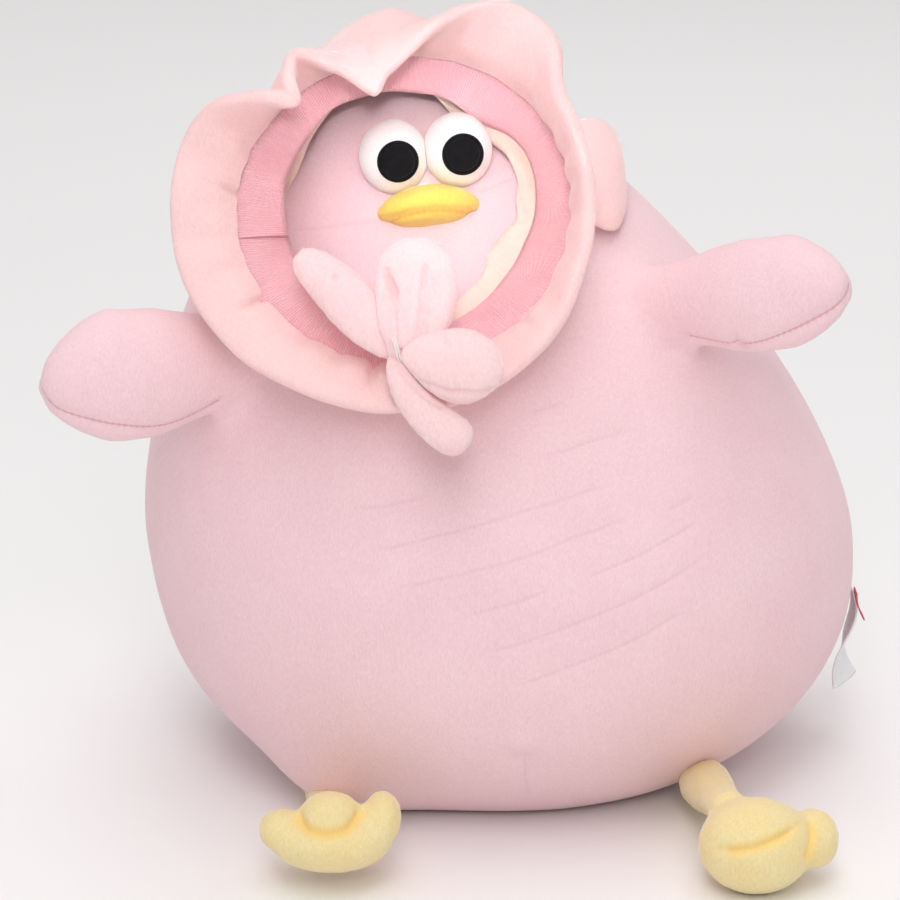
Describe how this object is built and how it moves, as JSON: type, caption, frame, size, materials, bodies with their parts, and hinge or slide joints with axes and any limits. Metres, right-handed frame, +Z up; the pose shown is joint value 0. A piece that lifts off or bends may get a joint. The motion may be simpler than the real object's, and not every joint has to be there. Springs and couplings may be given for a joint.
{
  "type": "stuffed toy chicken",
  "caption": "Soft pear-shaped plush chicken sitting on a flat base, with ball eyes, a stuffed beak, stub wings, floppy legs and a gathered bonnet tied with a bow.",
  "frame": {"origin": "centre of the flat seat on the floor, under the widest part of the body", "axes": "+Z up, the face looks along -Y, the toy's own left is +X"},
  "size_m": [0.3533, 0.3181, 0.3548],
  "materials": {
    "body_velour": "short brushed stretch velour",
    "bonnet_velour": "short brushed velour",
    "ribbed_knit": "fine ribbed knit",
    "cream_cloth": "plain woven lining",
    "bow_plush": "longer fuzzy plush",
    "white_plush": "short white plush",
    "black_felt": "felt",
    "yellow_plush": "short yellow plush",
    "pale_yellow_plush": "short pale yellow plush",
    "thread": "cotton thread",
    "fibre": "loose fibre filling",
    "label_satin": "satin ribbon"
  },
  "bodies": {
    "torso": {"body_front_panel": "body_velour", "body_back_panel": "body_velour", "body_base_panel": "body_velour", "body_filling": "fibre", "left_eye": "white_plush", "left_pupil": "black_felt", "right_eye": "white_plush", "right_pupil": "black_felt", "beak_upper": "yellow_plush", "beak_lower": "yellow_plush"},
    "left_wing": {"left_wing_upper_panel": "body_velour", "left_wing_lower_panel": "body_velour", "left_wing_filling": "fibre"},
    "right_wing": {"right_wing_upper_panel": "body_velour", "right_wing_lower_panel": "body_velour", "right_wing_filling": "fibre"},
    "left_leg": {"left_leg_cover": "pale_yellow_plush", "left_foot_cover": "pale_yellow_plush", "left_leg_filling": "fibre"},
    "right_leg": {"right_leg_cover": "pale_yellow_plush", "right_foot_cover": "pale_yellow_plush", "right_leg_filling": "fibre"},
    "bonnet": {"bonnet_ruffle": "bonnet_velour", "bonnet_ribbed_band": "ribbed_knit", "bonnet_lining": "cream_cloth", "bonnet_crown": "bonnet_velour", "bonnet_nape_frill": "bonnet_velour"},
    "bow": {"bow_middle": "bow_plush", "bow_thread": "thread", "bow_upper_tail": "bow_plush", "bow_upper_loop": "bow_plush", "bow_lower_loop": "bow_plush", "bow_lower_tail": "bow_plush"},
    "label": {"care_label": "label_satin"}
  },
  "joints": [
    {"name": "left_wing_flap", "type": "hinge", "parent": "torso", "child": "left_wing", "pos_m": [0.07219, -0.07046, 0.23235], "axis": [-0.3746, -0.9272, 0], "range_deg": [-12, 40], "stiffness_Nm_per_rad": 0.2},
    {"name": "right_wing_flap", "type": "hinge", "parent": "torso", "child": "right_wing", "pos_m": [-0.12255, -0.07818, 0.20886], "axis": [-0.3746, 0.9272, 0], "range_deg": [-12, 40], "stiffness_Nm_per_rad": 0.2},
    {"name": "left_leg_swing", "type": "hinge", "parent": "torso", "child": "left_leg", "pos_m": [0.09314, -0.08787, 0.01925], "axis": [-0.9903, -0.1392, 0], "range_deg": [-25, 45], "stiffness_Nm_per_rad": 0.2},
    {"name": "right_leg_swing", "type": "hinge", "parent": "torso", "child": "right_leg", "pos_m": [-0.09314, -0.08787, 0.01925], "axis": [-0.9659, -0.2588, 0], "range_deg": [-25, 34], "stiffness_Nm_per_rad": 0.2},
    {"name": "bonnet_tilt", "type": "hinge", "parent": "torso", "child": "bonnet", "pos_m": [-0.03036, 0.07335, 0.26], "axis": [-1, 0, 0], "range_deg": [0, 12]},
    {"name": "bow_swivel", "type": "hinge", "parent": "bonnet", "child": "bow", "pos_m": [-0.0478, -0.10533, 0.20354], "axis": [0, -0.866, 0.5], "range_deg": [-35, 35], "stiffness_Nm_per_rad": 0.03},
    {"name": "label_swing", "type": "hinge", "parent": "torso", "child": "label", "pos_m": [0.15748, 0, 0.081], "axis": [0, -1, 0], "range_deg": [0, 110]}
  ]
}
